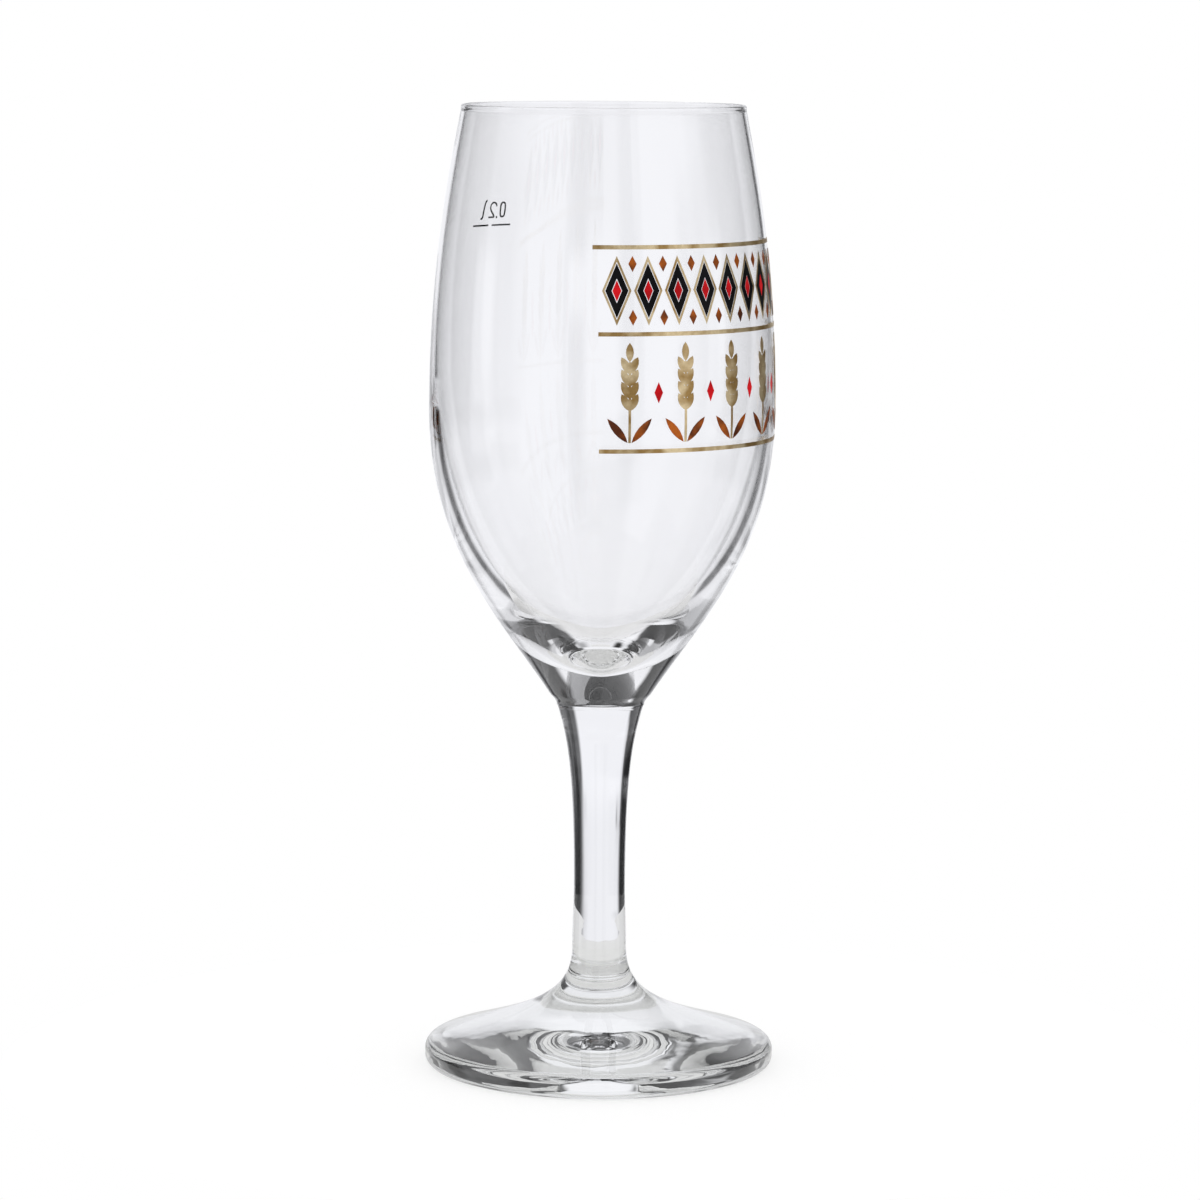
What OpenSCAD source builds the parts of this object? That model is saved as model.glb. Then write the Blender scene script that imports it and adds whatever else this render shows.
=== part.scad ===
// Stemmed pilsner glass for 0.2 litre: a blown bowl, a drawn stem and a pressed foot,
// fused face to face, with a fired enamel print and a measuring line on the bowl.
// Millimetres. The axis of the glass is Z and the glass stands on Z = 0.
// The front of the glass faces -Y. Heights on the bowl are counted from its seam.

/* [Foot] */
// Outer diameter of the foot
foot_d = 68.6; // [60:0.1:76]
// Height of the boss that carries the stem
boss_h = 23.6; // [20:0.1:28]
// Diameter of the boss where the stem is fused on
boss_d = 10.6; // [9:0.1:13]
// Radius of the lower edge of the foot
foot_low_round = 1.9; // [1.2:0.1:2.4]
// Radius of the upper edge of the foot
foot_top_round = 2; // [1.2:0.1:2.6]
// Height at which the foot is widest
foot_edge_h = 3; // [2.6:0.1:4]
// Slope of the upper face at its edge, in degrees
foot_slope = 16.5; // [10:0.5:22]
// Width of the flat ring that the glass stands on
rest_ring_w = 2.2; // [1:0.1:4]
// Depth of the hollow under the foot
foot_hollow = 3.7; // [1:0.1:4.5]
// Slope of the hollow where it meets the ring, in degrees
hollow_slope = 5; // [0:0.5:12]

/* [Stem] */
// Length of the stem from the boss to the seam
stem_l = 48; // [36:0.5:70]
// Diameter of the stem at its waist
waist_d = 10.1; // [8:0.1:13]
// Height of the waist above the boss
waist_h = 12; // [8:0.5:18]
// Diameter of the stem where the bowl is fused on
stem_top_d = 17; // [15:0.1:19]

/* [Bowl] */
// Height of the bowl above the seam
bowl_h = 116.9; // [105:0.1:130]
// Outer diameter at the rim
rim_d = 55.1; // [50:0.1:61]
// Outer diameter at the widest place
belly_d = 67.3; // [62:0.1:74]
// Height of the widest place above the seam
belly_h = 58; // [54:0.5:62]
// Wall at the widest place
belly_wall = 1.3; // [1:0.05:2.4]
// Wall at the rim
rim_wall = 0.9; // [0.8:0.05:1.5]
// How far the fire-polished bead on the rim stands out from the wall, on each side
rim_bead = 0.06; // [0.02:0.02:0.2]
// Slope of the wall at the rim, as run over rise
rim_lean = 0.17; // [0.05:0.01:0.3]
// Thickness of the solid glass under the floor of the bowl
floor_t = 9.2; // [6:0.1:12]
// Diameter of the short neck above the seam
neck_d = 20.3; // [19:0.1:22]
// Height of that neck
neck_h = 2.4; // [2:0.1:3.2]
// Slope of the lower wall above the neck, as run over rise
neck_lean = 0.65; // [0.5:0.01:0.8]
// Width of the flat lip that the bowl leaves round the seam
seam_lip = 0.1; // [0.05:0.05:0.3]

/* [Enamel] */
// Thickness of the fired enamel
enamel_t = 0.06; // [0.04:0.01:0.15]
// Direction that the middle of the print faces, in degrees from +X
print_dir = -43; // [-90:1:0]
// Width of the print along the wall
print_w = 56; // [50:1:70]
// Height of the print's lower edge above the seam
print_base = 52.5; // [46:0.5:60]
// Height of the rules above and below each row
rule_h = 0.8; // [0.4:0.1:1.4]
// Clear glass between a rule and its row
rule_space = 1.2; // [0.8:0.1:2.5]

/* [Lozenge row] */
// Number of lozenges
lozenges = 9; // [5:1:9]
// Clear glass between two lozenges
lozenge_space = 0.7; // [0.4:0.1:1.2]
// Height of one lozenge
lozenge_h = 13; // [9:0.1:16]
// Width of the gold line round each lozenge
lozenge_line = 0.42; // [0.25:0.01:0.55]
// Width of the red diamond in each lozenge
diamond_w = 1.7; // [1.2:0.1:2.2]
// Height of that diamond
diamond_h = 4; // [3:0.1:5]
// Width of the small copper diamonds between the lozenges
bead_w = 1.6; // [1:0.1:2]
// Height of those diamonds
bead_h = 3; // [2:0.1:3.6]
// Clear glass between two colours
colour_gap = 0.12; // [0.08:0.01:0.2]

/* [Barley row] */
// Number of barley ears
ears = 5; // [3:1:5]
// Pairs of grains on each ear
grain_pairs = 4; // [2:1:5]
// Length of one grain
grain_l = 3.6; // [3:0.1:4.4]
// Width of one grain
grain_w = 1.5; // [1.1:0.1:1.8]
// Distance from one pair of grains to the next
grain_step = 2.3; // [2:0.1:2.8]
// Lean of the grains away from the stalk, in degrees
grain_lean = 26; // [18:1:34]
// Length of the bare stalk below the grains
stalk_l = 6; // [4.5:0.1:8]
// Width of the stalk
stalk_w = 0.5; // [0.3:0.05:0.8]
// Length of the copper leaves
leaf_l = 6; // [4.5:0.1:6.5]
// Width of the copper leaves
leaf_w = 1.5; // [1:0.1:2]
// Lean of the leaves away from the stalk, in degrees
leaf_lean = 40; // [32:1:46]

/* [Measuring line] */
// Height of the 0.2 litre line above the seam
fill_h = 92.6; // [84:0.1:100]
// Thickness of the line
fill_line_t = 0.35; // [0.2:0.05:0.6]
// Length of each of its two strokes
fill_stroke = 5; // [3:0.1:8]
// Gap between the two strokes
fill_gap = 1; // [0.5:0.1:3]

/* [Hidden] */
$fn = 96;

glass = [0.86, 0.9, 0.92, 0.5];
gold = [0.78, 0.66, 0.42];
black = [0.08, 0.08, 0.09];
red = [0.72, 0.1, 0.12];
copper = [0.6, 0.33, 0.16];

// Enamel lies this far off the glass, so that the two solids never overlap
enamel_gap = 0.02;
// The flat motifs start this far inside the wall at the top of the print
print_depth = 0.6;
// Steps in each long curve, and in each small round edge
curve_steps = 16;
edge_steps = 6;
blade_steps = 6;
quarter = 90;
half = 180;
turn = 360;

// How far each curve runs straight on from its ends before it bends, as a share of the
// distance between the two ends
boss_pull_share = 0.51;
foot_pull_share = 0.78;
hollow_mid_pull_share = 0.42;
hollow_edge_pull_share = 0.27;
waist_pull_share = 0.62;
stem_pull_share = 0.19;
boss_join_share = 0.5;
low_wall_pull_share = 0.29;
belly_pull_share = 0.5;
high_wall_pull_share = 0.51;
rim_pull_share = 0.14;
neck_pull_share = 0.4;
cup_rim_pull_share = 0.27;
cup_wall_pull_share = 0.45;
cup_side_pull_share = 0.71;
cup_floor_pull_share = 0.19;
// Height of the widest place of the inside above that of the outside, as a share of the
// height from there to the rim
cup_belly_share = 0.12;

foot_r = foot_d / 2;
boss_r = boss_d / 2;
waist_r = waist_d / 2;
stem_top_r = stem_top_d / 2;
seam_r = stem_top_r + seam_lip;
neck_r = neck_d / 2;
belly_r = belly_d / 2;
rim_r = rim_d / 2;
seam_z = boss_h + stem_l;
belly_to_rim = bowl_h - belly_h;
// The bead is a circle that the wall meets at bead_angle below its middle
bead_r = rim_wall / 2 + rim_bead;
bead_angle = acos(rim_wall / 2 / bead_r);
bead_z = bowl_h - bead_r;
rim_join_z = bead_z - bead_r * sin(bead_angle);

// Curves

// A point on the cubic curve with end points a and d and pull points b and c
function bend(a, b, c, d, t) =
    a * pow(1 - t, 3) + b * 3 * t * pow(1 - t, 2) + c * 3 * t * t * (1 - t) + d * pow(t, 3);

// The whole curve, without its first point
function curve(a, b, c, d) = [for (i = [1:curve_steps]) bend(a, b, c, d, i / curve_steps)];

// A round edge from angle start to angle end
function round_edge(centre, radius, start, end) =
    [for (i = [0:edge_steps])
        centre + radius * [cos(start + (end - start) * i / edge_steps),
                           sin(start + (end - start) * i / edge_steps)]];

function drop_last(points) = [for (i = [0:len(points) - 2]) points[i]];

// A step of a given length along a wall that runs outward by lean for each unit of rise
function along(lean, length) = length * [lean, 1] / norm([lean, 1]);

// Outlines, as [distance from the axis, height]

function foot_outline() =
    let (ring_out = foot_r - foot_low_round,
         ring_in = ring_out - rest_ring_w,
         edge_end = [foot_r - foot_top_round, foot_edge_h]
                    + foot_top_round * [sin(foot_slope), cos(foot_slope)],
         boss_top = [boss_r, boss_h],
         rise = boss_h - edge_end.y,
         run = edge_end.x - boss_r)
    concat(
        [[0, foot_hollow]],
        curve([0, foot_hollow],
              [hollow_mid_pull_share * ring_in, foot_hollow],
              [ring_in, 0] + hollow_edge_pull_share * ring_in * [-1, tan(hollow_slope)],
              [ring_in, 0]),
        round_edge([ring_out, foot_low_round], foot_low_round, -quarter, 0),
        round_edge([foot_r - foot_top_round, foot_edge_h], foot_top_round, 0, quarter - foot_slope),
        curve(edge_end,
              edge_end + foot_pull_share * run * [-1, tan(foot_slope)],
              boss_top - [0, boss_pull_share * rise],
              boss_top),
        [[0, boss_h]]);

function stem_outline() =
    let (foot_end = [boss_r, boss_h],
         waist = [waist_r, boss_h + waist_h],
         top = [stem_top_r, seam_z],
         rise = stem_l - waist_h,
         flare = stem_top_r - waist_r)
    concat(
        [[0, boss_h], foot_end],
        curve(foot_end,
              foot_end + [0, boss_join_share * waist_h],
              waist - [0, boss_join_share * waist_h],
              waist),
        curve(waist,
              waist + [0, waist_pull_share * rise],
              top - [waist_pull_share * flare, stem_pull_share * rise],
              top),
        [[0, seam_z]]);

// The outside of the bowl from the seam to the rim, with heights above the seam
function bowl_outside() =
    let (neck = [neck_r, neck_h],
         belly = [belly_r, belly_h],
         rim = [rim_r, rim_join_z],
         low_rise = belly_h - neck_h)
    concat(
        [[seam_r, 0]],
        curve([seam_r, 0],
              [seam_r, neck_pull_share * neck_h],
              neck - along(neck_lean, neck_pull_share * neck_h),
              neck),
        curve(neck,
              neck + along(neck_lean, low_wall_pull_share * low_rise),
              belly - [0, belly_pull_share * low_rise],
              belly),
        curve(belly,
              belly + [0, high_wall_pull_share * belly_to_rim],
              rim - along(-rim_lean, rim_pull_share * belly_to_rim),
              rim));

// The inside of the bowl from below the rim down to the middle of its floor
function bowl_inside() =
    let (cup_belly = [belly_r - belly_wall, belly_h + cup_belly_share * belly_to_rim],
         rim = [rim_r - rim_wall, rim_join_z],
         high_rise = rim.y - cup_belly.y,
         low_rise = cup_belly.y - floor_t)
    concat(
        curve(rim,
              rim - along(-rim_lean, cup_rim_pull_share * high_rise),
              cup_belly + [0, cup_wall_pull_share * high_rise],
              cup_belly),
        curve(cup_belly,
              cup_belly - [0, cup_side_pull_share * low_rise],
              [cup_floor_pull_share * cup_belly.x, floor_t],
              [0, floor_t]));

// The rounded top of the wall, a little fatter than the wall itself
function rim_top() =
    round_edge([rim_r - rim_wall / 2, bead_z], bead_r, -bead_angle, half + bead_angle);

// Radius of the outside of the bowl at a height above the seam
function wall_r(height) = lookup(height, [for (p = bowl_outside()) [p.y, p.x]]);

// Glass

module bowl() {
    color(glass)
    translate([0, 0, seam_z])
    rotate_extrude()
    polygon(concat([[0, 0]], drop_last(bowl_outside()), rim_top(), bowl_inside()));
}

module stem() {
    color(glass)
    rotate_extrude()
    polygon(stem_outline());
}

module foot() {
    color(glass)
    rotate_extrude()
    polygon(foot_outline());
}

// Enamel

// Section of an enamel skin on the wall between two heights above the seam
module skin_section(low, high) {
    heights = concat([low], [for (p = bowl_outside()) if (p.y > low && p.y < high) p.y], [high]);
    inner = [for (h = heights) [wall_r(h) + enamel_gap, h]];
    outer = [for (h = heights) [wall_r(h) + enamel_gap + enamel_t, h]];
    translate([0, seam_z])
    polygon(concat(inner, [for (i = [len(outer) - 1:-1:0]) outer[i]]));
}

// A stretch of enamel line of a given width along the wall, round the direction dir
module band(low, high, width, dir) {
    sweep = turn * width / (PI * 2 * wall_r(low));
    rotate([0, 0, dir - sweep / 2])
    rotate_extrude(angle = sweep)
    skin_section(low, high);
}

// Prints a flat motif on the wall: the part of an enamel patch that lies inside the motif's
// outline. The patch is width wide and runs from low to high; the motif's origin is at height.
module printed(along_wall, height, width, low, high) {
    dir = print_dir + turn * along_wall / (PI * belly_d);
    intersection() {
        band(low, high, width, dir);
        rotate([0, 0, dir])
        translate([wall_r(print_top) - print_depth, 0, seam_z + height])
        rotate([quarter, 0, quarter])
        linear_extrude(height = belly_r)
        children();
    }
}

ears_low = print_base + rule_h + rule_space;
ear_h = stalk_l + grain_pairs * grain_step + grain_l;
ears_high = ears_low + ear_h;
middle_rule = ears_high + rule_space;
lozenges_low = middle_rule + rule_h + rule_space;
lozenges_middle = lozenges_low + lozenge_h / 2;
lozenges_high = lozenges_low + lozenge_h;
top_rule = lozenges_high + rule_space;
print_top = top_rule + rule_h;
lozenge_pitch = print_w / lozenges;
lozenge_w = lozenge_pitch - lozenge_space;
ear_pitch = print_w / ears;
// The lozenges' slanted side, from which the gold line is measured
lozenge_side = norm([lozenge_w, lozenge_h]);
black_w = lozenge_w - 2 * lozenge_line * lozenge_side / lozenge_h;
black_h = lozenge_h - 2 * lozenge_line * lozenge_side / lozenge_w;
gap_w = 2 * colour_gap * lozenge_side / lozenge_h;
gap_h = 2 * colour_gap * lozenge_side / lozenge_w;

function places(count, pitch) = [for (i = [0:count - 1]) pitch * (i - (count - 1) / 2)];

module diamond(width, height) {
    polygon([[width / 2, 0], [0, height / 2], [-width / 2, 0], [0, -height / 2]]);
}

// A pointed leaf or grain that stands on the origin: two shallow arcs that meet at the tips
module blade(length, width) {
    arc_r = (length * length + width * width) / (4 * width);
    reach = asin(length / 2 / arc_r);
    side = [for (i = [0:blade_steps])
        let (a = reach * (2 * i / blade_steps - 1))
        [arc_r * cos(a) - arc_r + width / 2, length / 2 + arc_r * sin(a)]];
    polygon(concat(side, [for (i = [blade_steps - 1:-1:1]) [-side[i].x, side[i].y]]));
}

module ear() {
    translate([-stalk_w / 2, 0]) square([stalk_w, stalk_l + grain_pairs * grain_step]);
    for (i = [0:grain_pairs - 1], side = [-1, 1])
        translate([0, stalk_l + i * grain_step])
        rotate(side * grain_lean)
        blade(grain_l, grain_w);
    translate([0, stalk_l + grain_pairs * grain_step]) blade(grain_l, grain_w);
}

module leaf(side) {
    translate([side * (stalk_w / 2 + colour_gap), 0])
    rotate(-side * leaf_lean)
    blade(leaf_l, leaf_w);
}

module in_each_lozenge(width, height) {
    for (x = places(lozenges, lozenge_pitch))
        printed(x, lozenges_middle, width, lozenges_middle - height / 2, lozenges_middle + height / 2)
        children();
}

module print_gold() {
    color(gold) {
        for (low = [print_base, middle_rule, top_rule])
            band(low, low + rule_h, print_w, print_dir);
        for (x = places(ears, ear_pitch))
            printed(x, ears_low, ear_pitch, ears_low, ears_high) ear();
        in_each_lozenge(lozenge_pitch, lozenge_h)
            difference() {
                diamond(lozenge_w, lozenge_h);
                diamond(black_w, black_h);
            }
    }
}

module print_black() {
    color(black)
    in_each_lozenge(lozenge_pitch, lozenge_h)
        difference() {
            diamond(black_w - gap_w, black_h - gap_h);
            diamond(diamond_w + gap_w, diamond_h + gap_h);
        }
}

module print_red() {
    color(red) {
        in_each_lozenge(lozenge_pitch, lozenge_h) diamond(diamond_w, diamond_h);
        for (x = places(ears - 1, ear_pitch))
            printed(x, ears_low + ear_h / 2, ear_pitch, ears_low, ears_high)
            diamond(diamond_w, diamond_h);
    }
}

module print_copper() {
    color(copper) {
        for (x = places(lozenges - 1, lozenge_pitch), side = [-1, 1])
            printed(x, lozenges_middle + side * (lozenge_h - bead_h) / 2, lozenge_pitch,
                    lozenges_low, lozenges_high)
            diamond(bead_w, bead_h);
        for (x = places(ears, ear_pitch), side = [-1, 1])
            printed(x, ears_low, ear_pitch, ears_low, ears_high) leaf(side);
    }
}

module fill_line() {
    offset_angle = turn * (fill_stroke + fill_gap) / (PI * 4 * wall_r(fill_h));
    color(black)
    for (side = [-1, 1])
        band(fill_h - fill_line_t / 2, fill_h + fill_line_t / 2, fill_stroke,
             print_dir + half + side * offset_angle);
}

bowl();
stem();
foot();
fill_line();
print_gold();
print_black();
print_red();
print_copper();
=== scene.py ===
import math

import bmesh
import bpy
from mathutils import Euler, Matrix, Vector


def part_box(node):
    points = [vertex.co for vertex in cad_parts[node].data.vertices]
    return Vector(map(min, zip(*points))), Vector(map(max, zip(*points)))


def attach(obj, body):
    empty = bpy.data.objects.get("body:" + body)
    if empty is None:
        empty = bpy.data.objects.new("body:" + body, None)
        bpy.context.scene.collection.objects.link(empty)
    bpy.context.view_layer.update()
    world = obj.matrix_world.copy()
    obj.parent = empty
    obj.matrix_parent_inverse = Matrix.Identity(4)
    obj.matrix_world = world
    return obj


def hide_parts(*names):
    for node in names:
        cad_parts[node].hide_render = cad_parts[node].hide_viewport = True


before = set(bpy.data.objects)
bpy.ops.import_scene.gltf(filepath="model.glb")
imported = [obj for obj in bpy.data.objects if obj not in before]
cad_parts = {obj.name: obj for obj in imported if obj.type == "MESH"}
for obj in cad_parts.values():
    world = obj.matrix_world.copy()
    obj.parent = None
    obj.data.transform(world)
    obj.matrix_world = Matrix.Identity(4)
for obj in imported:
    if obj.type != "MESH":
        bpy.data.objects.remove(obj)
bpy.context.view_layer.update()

# Looks for the stemmed pilsner glass. Lengths are in millimetres until a mesh is made.
MM = 0.001


def corner_mm(node, which):
    """The lowest (0) or highest (1) corner of a CAD node, in millimetres."""
    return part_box(node)[which] / MM


# Sizes that the frame gives
SEAM_Z = corner_mm("bowl", 0).z
RIM_Z = corner_mm("bowl", 1).z
BELLY_R = corner_mm("bowl", 1).x
BOSS_Z = corner_mm("foot", 1).z
FOOT_R = corner_mm("foot", 1).x
STEM_TOP_R = corner_mm("stem", 1).x
BOWL_H = RIM_Z - SEAM_Z
STEM_L = SEAM_Z - BOSS_Z

# Sizes that the frame doesn't give, as in the part's source
BOSS_R = 5.3
FOOT_LOW_ROUND = 1.9
FOOT_TOP_ROUND = 2.0
FOOT_EDGE_H = 3.0
FOOT_SLOPE = math.radians(16.5)
REST_RING_W = 2.2
FOOT_HOLLOW = 3.7
HOLLOW_SLOPE = math.radians(5)
WAIST_R = 5.05
WAIST_H = 12.0
RIM_R = 27.55
BELLY_H = 58.0
BELLY_WALL = 1.3
RIM_WALL = 0.9
RIM_BEAD = 0.06
RIM_LEAN = 0.17
FLOOR_T = 9.2
NECK_R = 10.15
NECK_H = 2.4
NECK_LEAN = 0.65
SEAM_LIP = 0.1
PRINT_DIR = math.radians(-43)
ENAMEL_GAP = 0.02
ENAMEL_T = 0.06
FILL_H = 92.6

# How far each curve runs straight on before it bends, as in the part's source
BOSS_PULL_SHARE = 0.51
FOOT_PULL_SHARE = 0.78
HOLLOW_MID_PULL_SHARE = 0.42
HOLLOW_EDGE_PULL_SHARE = 0.27
WAIST_PULL_SHARE = 0.62
STEM_PULL_SHARE = 0.19
BOSS_JOIN_SHARE = 0.5
LOW_WALL_PULL_SHARE = 0.29
BELLY_PULL_SHARE = 0.5
HIGH_WALL_PULL_SHARE = 0.51
RIM_PULL_SHARE = 0.14
NECK_PULL_SHARE = 0.4
CUP_RIM_PULL_SHARE = 0.27
CUP_WALL_PULL_SHARE = 0.45
CUP_SIDE_PULL_SHARE = 0.71
CUP_FLOOR_PULL_SHARE = 0.19
CUP_BELLY_SHARE = 0.12

# Fineness of the meshes
AROUND = 192
CURVE_STEPS = 44
NECK_STEPS = 12
EDGE_STEPS = 12
PEN_STEPS = 14
FLOOR_SIDES = 96

# What counts as no length, as at a joint, as level and as a sharp edge
NO_LENGTH = 1e-6
AT_JOINT = 0.01
LEVEL_NORMAL = 0.999
CREASE = math.radians(35)


# Outlines, as (distance from the axis, height)
def bend(a, b, c, d, t):
    """A point on the cubic curve with end points a and d and pull points b and c."""
    return a * (1 - t) ** 3 + b * (3 * t * (1 - t) ** 2) + c * (3 * t * t * (1 - t)) + d * t**3


def curve(a, b, c, d, steps=CURVE_STEPS):
    """The whole curve, without its first point."""
    a, b, c, d = (Vector(p) for p in (a, b, c, d))
    return [bend(a, b, c, d, i / steps) for i in range(1, steps + 1)]


def round_edge(centre, radius, start, end, steps=EDGE_STEPS):
    """A round edge from angle start to angle end."""
    angles = (start + (end - start) * i / steps for i in range(steps + 1))
    return [Vector(centre) + radius * Vector((math.cos(a), math.sin(a))) for a in angles]


def along(lean, length):
    """A step of a given length along a wall that runs outward by lean for each unit of rise."""
    return Vector((lean, 1)).normalized() * length


def foot_outline():
    ring_out = FOOT_R - FOOT_LOW_ROUND
    ring_in = ring_out - REST_RING_W
    edge_end = Vector((FOOT_R - FOOT_TOP_ROUND, FOOT_EDGE_H)) + FOOT_TOP_ROUND * Vector(
        (math.sin(FOOT_SLOPE), math.cos(FOOT_SLOPE))
    )
    boss_top = Vector((BOSS_R, BOSS_Z))
    rise, run = BOSS_Z - edge_end.y, edge_end.x - BOSS_R
    middle, ring_edge = Vector((0, FOOT_HOLLOW)), Vector((ring_in, 0))
    outline = [middle] + curve(
        middle,
        middle + Vector((HOLLOW_MID_PULL_SHARE * ring_in, 0)),
        ring_edge + HOLLOW_EDGE_PULL_SHARE * ring_in * Vector((-1, math.tan(HOLLOW_SLOPE))),
        ring_edge,
    )
    outline += round_edge((ring_out, FOOT_LOW_ROUND), FOOT_LOW_ROUND, -math.pi / 2, 0)
    outline += round_edge(
        (FOOT_R - FOOT_TOP_ROUND, FOOT_EDGE_H), FOOT_TOP_ROUND, 0, math.pi / 2 - FOOT_SLOPE
    )
    outline += curve(
        edge_end,
        edge_end + FOOT_PULL_SHARE * run * Vector((-1, math.tan(FOOT_SLOPE))),
        boss_top - Vector((0, BOSS_PULL_SHARE * rise)),
        boss_top,
    )
    return outline + [Vector((0, BOSS_Z))]


def stem_outline():
    foot_end = Vector((BOSS_R, BOSS_Z))
    waist = Vector((WAIST_R, BOSS_Z + WAIST_H))
    top = Vector((STEM_TOP_R, SEAM_Z))
    rise, flare = STEM_L - WAIST_H, STEM_TOP_R - WAIST_R
    join = Vector((0, BOSS_JOIN_SHARE * WAIST_H))
    outline = [Vector((0, BOSS_Z)), foot_end]
    outline += curve(foot_end, foot_end + join, waist - join, waist)
    outline += curve(
        waist,
        waist + Vector((0, WAIST_PULL_SHARE * rise)),
        top - Vector((WAIST_PULL_SHARE * flare, STEM_PULL_SHARE * rise)),
        top,
    )
    return outline + [Vector((0, SEAM_Z))]


BEAD_R = RIM_WALL / 2 + RIM_BEAD
BEAD_ANGLE = math.acos(RIM_WALL / 2 / BEAD_R)
BEAD_Z = BOWL_H - BEAD_R
RIM_JOIN_Z = BEAD_Z - BEAD_R * math.sin(BEAD_ANGLE)


def bowl_outside():
    """The outside of the bowl from the seam to the rim, with heights above the seam."""
    seam = Vector((STEM_TOP_R + SEAM_LIP, 0))
    neck, belly = Vector((NECK_R, NECK_H)), Vector((BELLY_R, BELLY_H))
    rim = Vector((RIM_R, RIM_JOIN_Z))
    low_rise, high_rise = BELLY_H - NECK_H, BOWL_H - BELLY_H
    outline = [seam]
    outline += curve(
        seam,
        seam + Vector((0, NECK_PULL_SHARE * NECK_H)),
        neck - along(NECK_LEAN, NECK_PULL_SHARE * NECK_H),
        neck,
        NECK_STEPS,
    )
    outline += curve(
        neck,
        neck + along(NECK_LEAN, LOW_WALL_PULL_SHARE * low_rise),
        belly - Vector((0, BELLY_PULL_SHARE * low_rise)),
        belly,
    )
    outline += curve(
        belly,
        belly + Vector((0, HIGH_WALL_PULL_SHARE * high_rise)),
        rim - along(-RIM_LEAN, RIM_PULL_SHARE * high_rise),
        rim,
    )
    return outline


def bowl_inside():
    """The inside of the bowl from below the rim down to the middle of its floor."""
    cup_belly = Vector((BELLY_R - BELLY_WALL, BELLY_H + CUP_BELLY_SHARE * (BOWL_H - BELLY_H)))
    rim = Vector((RIM_R - RIM_WALL, RIM_JOIN_Z))
    high_rise, low_rise = rim.y - cup_belly.y, cup_belly.y - FLOOR_T
    outline = curve(
        rim,
        rim - along(-RIM_LEAN, CUP_RIM_PULL_SHARE * high_rise),
        cup_belly + Vector((0, CUP_WALL_PULL_SHARE * high_rise)),
        cup_belly,
    )
    outline += curve(
        cup_belly,
        cup_belly - Vector((0, CUP_SIDE_PULL_SHARE * low_rise)),
        (CUP_FLOOR_PULL_SHARE * cup_belly.x, FLOOR_T),
        (0, FLOOR_T),
        2 * CURVE_STEPS,
    )
    return outline


def bowl_outline():
    bead = round_edge(
        (RIM_R - RIM_WALL / 2, BEAD_Z), BEAD_R, -BEAD_ANGLE, math.pi + BEAD_ANGLE
    )
    outline = [Vector((0, 0))] + bowl_outside()[:-1] + bead + bowl_inside()
    return [p + Vector((0, SEAM_Z)) for p in outline]


def wall_r(height):
    """Radius of the outside of the bowl at a height above the seam."""
    outline = bowl_outside()
    for a, b in zip(outline, outline[1:]):
        if a.y <= height <= b.y:
            return a.x + (b.x - a.x) * (height - a.y) / (b.y - a.y)
    return outline[-1].x


# Materials
GLASS_IOR = 1.5
CORD_SIZE = 9.0
CORD_STRETCH = 6.0
CORD_EDGES = (0.35, 0.6)
CLOUD_SIZE = 4.0
CLOUD_EDGES = (0.38, 0.62)
SPECKLE_SIZE = 0.4
SPECKLE_DETAIL = 3.0
SPECKLE_EDGES = (0.3, 0.7)
SPECKLE_SHADE = 0.82
SPECKLE_DEPTH = 0.003
ENAMEL_GLOSS = 0.08


def new_material(name):
    """A material with its node tree and its Principled shader."""
    mat = bpy.data.materials.new(name)
    mat.use_nodes = True
    return mat, mat.node_tree, mat.node_tree.nodes["Principled BSDF"]


def bare_material(name):
    """A material with its node tree, which has nothing but the output, and the surface socket."""
    mat = bpy.data.materials.new(name)
    mat.use_nodes = True
    mat.node_tree.nodes.clear()
    out = mat.node_tree.nodes.new("ShaderNodeOutputMaterial")
    return mat, mat.node_tree, out.inputs["Surface"]


def maths(tree, operation, *inputs):
    node = tree.nodes.new("ShaderNodeMath")
    node.operation = operation
    for i, value in enumerate(inputs):
        if isinstance(value, (int, float)):
            node.inputs[i].default_value = value
        else:
            tree.links.new(value, node.inputs[i])
    return node.outputs[0]


def seen_in_glass(tree):
    """1 for a ray that comes through or off the glass, 0 for the camera's own and for the
    light that falls on the floor and the enamel, also where that comes through the glass."""
    rays = tree.nodes.new("ShaderNodeLightPath")
    in_glass = maths(
        tree, "MAXIMUM", rays.outputs["Is Glossy Ray"], rays.outputs["Is Transmission Ray"]
    )
    not_camera = maths(tree, "SUBTRACT", 1.0, rays.outputs["Is Camera Ray"])
    not_light = maths(tree, "LESS_THAN", rays.outputs["Diffuse Depth"], 0.5)
    return maths(tree, "MULTIPLY", in_glass, maths(tree, "MULTIPLY", not_camera, not_light))


def noise(tree, size, stretch=1.0, detail=2.0):
    """Soft noise with features of about size millimetres, stretch times as long in height."""
    coord = tree.nodes.new("ShaderNodeTexCoord")
    fit = tree.nodes.new("ShaderNodeMapping")
    fit.inputs["Scale"].default_value = (1 / (size * MM),) * 2 + (1 / (size * stretch * MM),)
    field = tree.nodes.new("ShaderNodeTexNoise")
    field.inputs["Scale"].default_value = 1.0
    field.inputs["Detail"].default_value = detail
    tree.links.new(coord.outputs["Object"], fit.inputs["Vector"])
    tree.links.new(fit.outputs["Vector"], field.inputs["Vector"])
    return field.outputs["Fac"]


def ramp(tree, value, edges, low_colour, high_colour):
    """One colour where the value is under the first edge, the other where it is over the second."""
    node = tree.nodes.new("ShaderNodeValToRGB")
    colours = (low_colour, high_colour)
    for element, place, colour in zip(node.color_ramp.elements, edges, colours):
        element.position = place
        element.color = (*colour, 1)
    tree.links.new(value, node.inputs["Fac"])
    return node.outputs["Color"]


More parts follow.
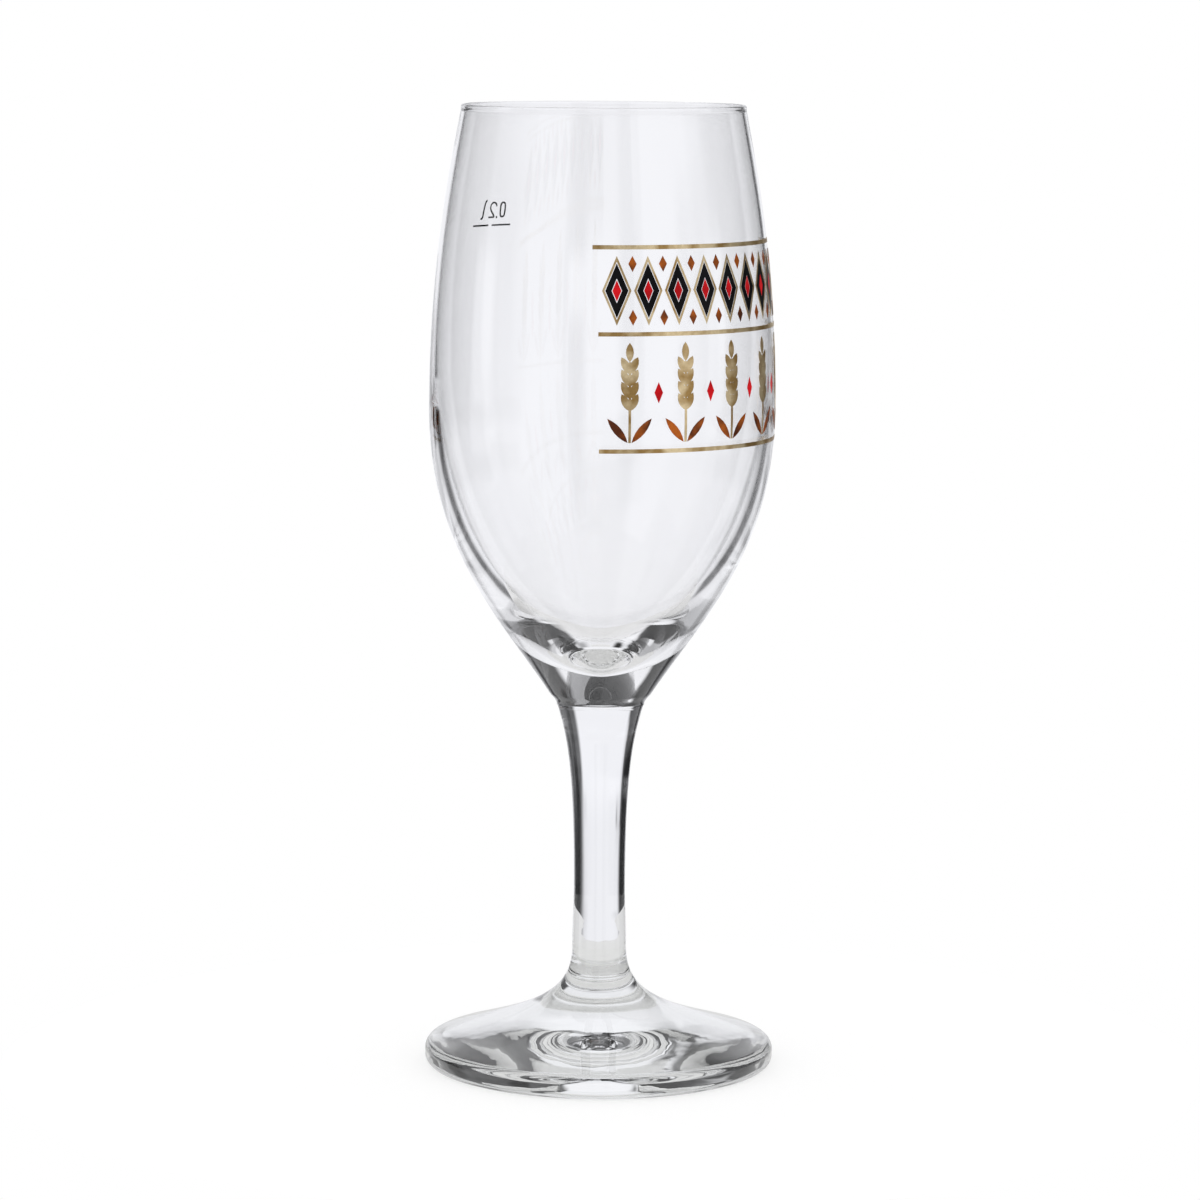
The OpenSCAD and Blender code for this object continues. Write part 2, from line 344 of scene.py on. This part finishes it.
def bump(tree, height, depth, under=None):
    """A bump of a given depth in millimetres, on top of another one if given."""
    node = tree.nodes.new("ShaderNodeBump")
    node.inputs["Strength"].default_value = 1.0
    node.inputs["Distance"].default_value = depth * MM
    tree.links.new(height, node.inputs["Height"])
    if under:
        tree.links.new(under, node.inputs["Normal"])
    return node.outputs["Normal"]


def glass_material(name, colour, cord_colour, waves):
    """Clear glass. Faint cords of a slightly deeper colour run through it, and each wave is
    (size, stretch, depth): a shallow unevenness of the fire-polished surface."""
    mat, tree, shader = new_material(name)
    cords = ramp(tree, noise(tree, CORD_SIZE, CORD_STRETCH), CORD_EDGES, cord_colour, colour)
    tree.links.new(cords, shader.inputs["Base Color"])
    shader.inputs["Roughness"].default_value = 0.0
    shader.inputs["IOR"].default_value = GLASS_IOR
    shader.inputs["Transmission Weight"].default_value = 1.0
    surface = None
    for size, stretch, depth in waves:
        surface = bump(tree, noise(tree, size, stretch), depth, surface)
    tree.links.new(surface, shader.inputs["Normal"])
    return mat


def contact_material(name):
    """Glass fused to glass: light runs straight through the joint."""
    mat, tree, surface = bare_material(name)
    clear = tree.nodes.new("ShaderNodeBsdfTransparent")
    tree.links.new(clear.outputs["BSDF"], surface)
    return mat


def enamel_material(name, deep, pale, metallic, roughness):
    """Fired enamel: soft clouds between two tones, and the fine speckle of a screen print."""
    mat, tree, shader = new_material(name)
    clouds = ramp(tree, noise(tree, CLOUD_SIZE), CLOUD_EDGES, deep, pale)
    speckle = noise(tree, SPECKLE_SIZE, detail=SPECKLE_DETAIL)
    grain = ramp(tree, speckle, SPECKLE_EDGES, (SPECKLE_SHADE,) * 3, (1.0,) * 3)
    both = tree.nodes.new("ShaderNodeMix")
    both.data_type = "RGBA"
    both.blend_type = "MULTIPLY"
    both.inputs["Factor"].default_value = 1.0
    tree.links.new(clouds, both.inputs["A"])
    tree.links.new(grain, both.inputs["B"])
    tree.links.new(both.outputs["Result"], shader.inputs["Base Color"])
    tree.links.new(bump(tree, speckle, SPECKLE_DEPTH), shader.inputs["Normal"])
    shader.inputs["Metallic"].default_value = metallic
    shader.inputs["Roughness"].default_value = roughness
    shader.inputs["Specular IOR Level"].default_value = ENAMEL_GLOSS
    return mat


bowl_glass = glass_material(
    "bowl_glass", (1.0, 1.0, 1.0), (0.992, 0.992, 0.994), [(14.0, 4.0, 0.02), (3.0, 2.0, 0.002)]
)
stem_glass = glass_material(
    "stem_glass", (0.99, 0.992, 1.0), (0.98, 0.982, 0.99), [(6.0, 3.0, 0.04), (1.6, 2.0, 0.003)]
)
foot_glass = glass_material(
    "foot_glass", (0.985, 0.992, 0.985), (0.97, 0.98, 0.972), [(9.0, 1.0, 0.05), (2.5, 1.0, 0.003)]
)
fused = contact_material("fused_joint")
gold = enamel_material("gold_enamel", (0.4, 0.25, 0.09), (0.82, 0.66, 0.4), 0.8, 0.34)
black = enamel_material("black_enamel", (0.002, 0.002, 0.0025), (0.006, 0.006, 0.007), 0.0, 0.28)
red = enamel_material("red_enamel", (0.42, 0.003, 0.006), (0.68, 0.006, 0.012), 0.0, 0.3)
copper = enamel_material("copper_enamel", (0.12, 0.035, 0.015), (0.52, 0.13, 0.02), 0.6, 0.36)
ENAMELS = {
    "print_gold": gold,
    "print_black": black,
    "print_red": red,
    "print_copper": copper,
    "fill_line": black,
}


# Objects
def add_object(name, mesh, *materials):
    """An object of the mesh with its materials, in the scene."""
    for mat in materials:
        mesh.materials.append(mat)
    piece = bpy.data.objects.new(name, mesh)
    bpy.context.scene.collection.objects.link(piece)
    return piece


# Glass
def revolve(name, outline, glass, joint_heights):
    """A closed mesh of the outline turned about Z. Flat faces at a joint are fused glass."""
    mesh = bpy.data.meshes.new(name)
    bm = bmesh.new()
    rings = []
    for p in outline:
        if p.x < NO_LENGTH:
            rings.append([bm.verts.new(Vector((0, 0, p.y)) * MM)])
            continue
        ring = []
        for i in range(AROUND):
            a = 2 * math.pi * i / AROUND
            ring.append(bm.verts.new(Vector((p.x * math.cos(a), p.x * math.sin(a), p.y)) * MM))
        rings.append(ring)
    for low, high in zip(rings, rings[1:]):
        for i in range(AROUND):
            j = (i + 1) % AROUND
            if len(low) == 1:
                corners = (low[0], high[j], high[i])
            elif len(high) == 1:
                corners = (low[i], low[j], high[0])
            else:
                corners = (low[i], low[j], high[j], high[i])
            bm.faces.new(corners)
    bmesh.ops.recalc_face_normals(bm, faces=bm.faces)
    for face in bm.faces:
        face.smooth = True
        level = abs(face.normal.z) > LEVEL_NORMAL
        height = face.calc_center_median().z / MM
        at_joint = any(abs(height - z) < AT_JOINT for z in joint_heights)
        face.material_index = 1 if level and at_joint else 0
    for edge in bm.edges:
        if len(edge.link_faces) == 2 and edge.calc_face_angle() > CREASE:
            edge.smooth = False
    bm.to_mesh(mesh)
    bm.free()
    return add_object(name, mesh, glass, fused)


bowl = revolve("bowl_blown", bowl_outline(), bowl_glass, [SEAM_Z])
stem = revolve("stem_drawn", stem_outline(), stem_glass, [BOSS_Z, SEAM_Z])
foot = revolve("foot_pressed", foot_outline(), foot_glass, [BOSS_Z])
for piece, node, slot in (
    (bowl, "bowl", "bowl_glass"),
    (stem, "stem", "stem_glass"),
    (foot, "foot", "foot_glass"),
):
    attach(piece, "root")
    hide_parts(node)

# Enamel
for node, enamel in ENAMELS.items():
    for material_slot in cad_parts[node].material_slots:
        material_slot.material = enamel

# The numerals over the measuring line, as pen strokes: (along the wall, above the line) in
# millimetres, read from outside. They say 0,2 l.
STROKE_W = 0.36
NOUGHT_MIDDLE = Vector((-3.2, 3.05))
NOUGHT_HALF_W = 0.62
NOUGHT_HALF_H = 1.42
NOUGHT_SQUARENESS = 0.7
COMMA = [(-1.62, 1.78), (-1.7, 1.36)]
TWO_TOP = [(-1.45, 3.75), (-1.35, 4.75), (0.3, 4.85), (0.3, 3.6)]
TWO_LEG = [(0.3, 3.6), (0.28, 2.9), (-0.75, 2.2), (-0.95, 1.62)]
TWO_BASE = [(-0.95, 1.62), (0.68, 1.6)]
LITRE_LOW = [(3.1, 1.4), (2.75, 1.25), (2.5, 1.5), (2.42, 2.2)]
LITRE_HIGH = [(2.42, 2.2), (2.25, 3.4), (2.1, 4.9), (1.5, 5.0)]


def nought():
    """A closed stroke, whose last point is its first."""
    points = []
    for i in range(2 * PEN_STEPS + 1):
        a = math.pi * i / PEN_STEPS
        side, up = math.cos(a), math.sin(a)
        along_wall = math.copysign(NOUGHT_HALF_W * abs(side) ** NOUGHT_SQUARENESS, side)
        above_line = math.copysign(NOUGHT_HALF_H * abs(up) ** NOUGHT_SQUARENESS, up)
        points.append(NOUGHT_MIDDLE + Vector((along_wall, above_line)))
    return points


def pen_curve(*pulls):
    """One stroke through several curves, each of which starts where the one before it ends."""
    return [Vector(pulls[0][0])] + [p for pull in pulls for p in curve(*pull, PEN_STEPS)]


STROKES = (
    nought(),
    [Vector(p) for p in COMMA],
    pen_curve(TWO_TOP, TWO_LEG) + [Vector(TWO_BASE[1])],
    pen_curve(LITRE_LOW, LITRE_HIGH),
)


def on_wall(place, lift):
    """The point of the bowl's outside at (along, above) from the middle of the line."""
    height = FILL_H + place.y
    radius = wall_r(height)
    a = PRINT_DIR + math.pi + place.x / radius
    radius += lift
    return Vector((radius * math.cos(a), radius * math.sin(a), SEAM_Z + height)) * MM


def add_stroke(bm, points):
    """A raised stroke of square section. A closed one has no ends."""
    closed = (points[-1] - points[0]).length < NO_LENGTH
    if closed:
        points = points[:-1]
    last = len(points) - 1
    low, high = ENAMEL_GAP, ENAMEL_GAP + ENAMEL_T
    stations = []
    for i, p in enumerate(points):
        if closed:
            run = points[(i + 1) % len(points)] - points[i - 1]
        else:
            run = points[min(i + 1, last)] - points[max(i - 1, 0)]
        across = Vector((-run.y, run.x)).normalized() * STROKE_W / 2
        corners = ((p - across, low), (p + across, low), (p + across, high), (p - across, high))
        stations.append([bm.verts.new(on_wall(place, lift)) for place, lift in corners])
    following = stations[1:] + stations[:1] if closed else stations[1:]
    for a, b in zip(stations, following):
        for k in range(4):
            bm.faces.new((a[k], a[(k + 1) % 4], b[(k + 1) % 4], b[k]))
    if not closed:
        bm.faces.new(stations[0])
        bm.faces.new(reversed(stations[-1]))


def numerals():
    mesh = bpy.data.meshes.new("line_numerals")
    bm = bmesh.new()
    for points in STROKES:
        add_stroke(bm, points)
    bmesh.ops.recalc_face_normals(bm, faces=bm.faces)
    bm.to_mesh(mesh)
    bm.free()
    piece = add_object("line_numerals", mesh, black)
    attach(piece, "root")


numerals()

# Stage
FLOOR_R = 118.0
FLOOR_DROP = 0.02
FLOOR_GREY = 0.4
FLOOR_GLOW = 0.62
FLOOR_GLOW_IN_GLASS = 0.37


def floor_material():
    """White table top: white to the camera, a shade less in the glass, and it keeps a shadow."""
    mat, tree, surface = bare_material("table_white")
    matte = tree.nodes.new("ShaderNodeBsdfDiffuse")
    matte.inputs["Color"].default_value = (FLOOR_GREY, FLOOR_GREY, FLOOR_GREY, 1)
    glow = tree.nodes.new("ShaderNodeEmission")
    less = maths(tree, "MULTIPLY", seen_in_glass(tree), FLOOR_GLOW - FLOOR_GLOW_IN_GLASS)
    tree.links.new(maths(tree, "SUBTRACT", FLOOR_GLOW, less), glow.inputs["Strength"])
    both = tree.nodes.new("ShaderNodeAddShader")
    tree.links.new(matte.outputs["BSDF"], both.inputs[0])
    tree.links.new(glow.outputs["Emission"], both.inputs[1])
    tree.links.new(both.outputs["Shader"], surface)
    return mat


def table_top():
    mesh = bpy.data.meshes.new("table_top")
    bm = bmesh.new()
    bmesh.ops.create_circle(bm, cap_ends=True, radius=FLOOR_R * MM, segments=FLOOR_SIDES)
    bm.to_mesh(mesh)
    bm.free()
    floor = add_object("table_top", mesh, floor_material())
    floor.location.z = -FLOOR_DROP * MM


table_top()

# Studio
# It is seen only in the glass. Each zone is painted over the ones before it: (name, from and to
# round the compass, softness, from and to in height, softness, brightness), in degrees. 0 on the
# compass is straight behind the glass, +90 is its right side, and an edge past 180 isn't reached.
STUDIO = (
    ("table", -180.7, 184.9, 12, -126.7, -18.1, 5.3, 0.88),
    ("backdrop", -36.5, 29.5, 12, -20, 31.9, 10.7, 0.91),
    ("upper backdrop", -11.4, 19.7, 1, 55.5, 71.9, 1.3, 0.61),
    ("dark ceiling, left", -164.5, -22.2, 12, 7.5, 95.6, 13.1, 0.05),
    ("grey wall, right rear", 22.8, 81.2, 1, -3.4, 71.7, 1, 0.39),
    ("dark side, left", -39.4, -26.5, 2.8, -8, 5, 1, 0),
    ("dark side, right", 20.5, 93.6, 2.6, -5.4, 43.6, 6.8, 0.09),
    ("dark screen, left", -31.9, -19.4, 8.4, -38.3, -14.4, 1.5, 0),
    ("grey screen, right", 20.8, 34.1, 12, -34.7, -15.6, 16, 0.41),
    ("bright table strip, left", -99.3, -89, 6.1, -46.5, -19.8, 1, 1.3),
    ("grey side, left", -122.6, -86.3, 4.7, -10.6, 32.7, 1.4, 0.46),
    ("grey side, right", 96.1, 159.5, 12, -13.2, 20.6, 16, 0.65),
    ("lamp, left front", -154.1, -123.2, 8.7, -52.6, 50, 1, 0.82),
    ("lamp, right front", 112.5, 171.6, 12, -17.9, 32.1, 15.6, 1),
    ("lamp, right front, upper", 116.4, 166.7, 1.9, 7.3, 48.2, 1, 0.88),
    ("window, left", -99, -82, 4, -13, 6, 4, 0.9),
    ("lamp behind the camera, left", -196.6, -155.8, 5.8, -15.4, 9.9, 4.1, 1.3),
    ("dark behind the camera, left", -239.9, -157.1, 1, -40.5, 3.1, 4.2, 0.14),
    ("grey behind the camera, right", 151.7, 193, 2.1, -30.2, 45.9, 2.4, 0.48),
    ("dark behind the camera, right", 158.8, 205.7, 2.3, -30.3, -6, 16, 0.16),
    ("front backdrop, left", -230, -168, 8, -30, 12, 8, 0.9),
    ("front backdrop, right", 168, 230, 8, -30, 12, 8, 0.9),
    ("window, right", 84, 96, 4, -13, 6, 4, 0.8),
)
DARK_ROOM = 0.019
# Cards that stand near the glass: (name, from and to across, softness, from and to in height,
# softness, brightness, distance behind the middle of the glass), in millimetres
NEAR_CARDS = (
    ("near_backdrop", -54.5, 41.8, 12, 40, 187.3, 16, 0.97, 90.1),
    ("near_grey_left", -68.3, -48.2, 12, 27.7, 91.4, 16, 0.77, 98),
    ("near_dark_right", 60.7, 83.5, 12, 10.7, 103.8, 16, 0.01, 88.4),
)
GLASS_VIEW_COLOUR = (0.96, 0.965, 1.0)


def soft_step(tree, value, edge, soft, rising):
    node = tree.nodes.new("ShaderNodeMapRange")
    node.interpolation_type = "SMOOTHSTEP"
    tree.links.new(value, node.inputs["Value"])
    node.inputs["From Min"].default_value = edge - soft / 2
    node.inputs["From Max"].default_value = edge + soft / 2
    node.inputs["To Min"].default_value = 0.0 if rising else 1.0
    node.inputs["To Max"].default_value = 1.0 if rising else 0.0
    return node.outputs["Result"]


def soft_box(tree, across, west, east, soft_across, up, low, high, soft_up):
    """1 inside the box, 0 outside it and a smooth step between."""
    sides = (
        soft_step(tree, across, west, soft_across, True),
        soft_step(tree, across, east, soft_across, False),
        soft_step(tree, up, low, soft_up, True),
        soft_step(tree, up, high, soft_up, False),
    )
    level = maths(tree, "MULTIPLY", sides[0], sides[1])
    return maths(tree, "MULTIPLY", level, maths(tree, "MULTIPLY", sides[2], sides[3]))


def studio_world():
    world = bpy.data.worlds.new("studio")
    bpy.context.scene.world = world
    world.use_nodes = True
    tree = world.node_tree
    tree.nodes.clear()
    coord = tree.nodes.new("ShaderNodeTexCoord")
    parts = tree.nodes.new("ShaderNodeSeparateXYZ")
    tree.links.new(coord.outputs["Generated"], parts.inputs[0])
    x, y, z = parts.outputs
    compass = maths(tree, "MULTIPLY", maths(tree, "ARCTAN2", x, y), 180 / math.pi)
    height = maths(tree, "MULTIPLY", maths(tree, "ARCSINE", z), 180 / math.pi)
    seen = DARK_ROOM
    for _, west, east, soft_round, low, high, soft_up, level in STUDIO:
        share = soft_box(tree, compass, west, east, soft_round, height, low, high, soft_up)
        kept = maths(tree, "MULTIPLY", seen, maths(tree, "SUBTRACT", 1.0, share))
        seen = maths(tree, "ADD", kept, maths(tree, "MULTIPLY", share, level))

    plain = tree.nodes.new("ShaderNodeBackground")
    plain.inputs["Color"].default_value = (1, 1, 1, 1)
    studio = tree.nodes.new("ShaderNodeBackground")
    studio.inputs["Color"].default_value = (*GLASS_VIEW_COLOUR, 1)
    tree.links.new(seen, studio.inputs["Strength"])
    mix = tree.nodes.new("ShaderNodeMixShader")
    tree.links.new(seen_in_glass(tree), mix.inputs[0])
    tree.links.new(plain.outputs[0], mix.inputs[1])
    tree.links.new(studio.outputs[0], mix.inputs[2])
    out = tree.nodes.new("ShaderNodeOutputWorld")
    tree.links.new(mix.outputs[0], out.inputs["Surface"])


def card(name, left, right, soft_across, low, high, soft_up, level, back):
    """A card with soft edges that only the glass sees."""
    mat, tree, surface = bare_material(name)
    coord = tree.nodes.new("ShaderNodeTexCoord")
    parts = tree.nodes.new("ShaderNodeSeparateXYZ")
    tree.links.new(coord.outputs["Object"], parts.inputs[0])
    across = maths(tree, "DIVIDE", parts.outputs["X"], MM)
    up = maths(tree, "DIVIDE", parts.outputs["Z"], MM)
    share = soft_box(tree, across, left, right, soft_across, up, low, high, soft_up)
    clear = tree.nodes.new("ShaderNodeBsdfTransparent")
    glow = tree.nodes.new("ShaderNodeEmission")
    glow.inputs["Color"].default_value = (*GLASS_VIEW_COLOUR, 1)
    glow.inputs["Strength"].default_value = level
    mix = tree.nodes.new("ShaderNodeMixShader")
    tree.links.new(share, mix.inputs[0])
    tree.links.new(clear.outputs[0], mix.inputs[1])
    tree.links.new(glow.outputs[0], mix.inputs[2])
    tree.links.new(mix.outputs[0], surface)

    mesh = bpy.data.meshes.new(name)
    west, east = left - soft_across, right + soft_across
    base, top = max(low - soft_up, 0), high + soft_up
    corners = [(west, base), (east, base), (east, top), (west, top)]
    mesh.from_pydata([Vector((x, back, z)) * MM for x, z in corners], [], [(0, 1, 2, 3)])
    piece = add_object(name, mesh, mat)
    piece.visible_camera = False
    piece.visible_diffuse = False
    piece.visible_shadow = False


studio_world()
for near_card in NEAR_CARDS:
    card(*near_card)

# Camera
# The photograph's camera, fitted to the outline of the glass.
CAMERA_BACK = 914.0
CAMERA_Z = 211.4
CAMERA_PITCH = math.radians(-7.44)
CAMERA_YAW = math.radians(0.013)
CAMERA_ROLL = math.radians(0.324)
FOCAL_PX = 4712.8
IMAGE_PX = 1200
SENSOR = 36.0
CLIP_START = 10.0

camera_data = bpy.data.cameras.new("camera")
camera_data.sensor_width = SENSOR
camera_data.lens = FOCAL_PX / IMAGE_PX * SENSOR
camera_data.clip_start = CLIP_START * MM
camera = bpy.data.objects.new("camera", camera_data)
bpy.context.scene.collection.objects.link(camera)
camera.location = Vector((0, -CAMERA_BACK, CAMERA_Z)) * MM
aim = Euler((math.pi / 2 + CAMERA_PITCH, 0, CAMERA_YAW), "XYZ").to_matrix()
camera.rotation_euler = (aim @ Euler((0, 0, CAMERA_ROLL), "XYZ").to_matrix()).to_euler()
bpy.context.scene.camera = camera
bpy.context.scene.view_settings.view_transform = "Standard"

# Light that the thin wall traps leaves it only after 30 to 40 bounces
LIGHT_BOUNCES = 44
cycles = bpy.context.scene.cycles
cycles.max_bounces = LIGHT_BOUNCES
cycles.transmission_bounces = LIGHT_BOUNCES
cycles.glossy_bounces = LIGHT_BOUNCES
cycles.transparent_max_bounces = LIGHT_BOUNCES
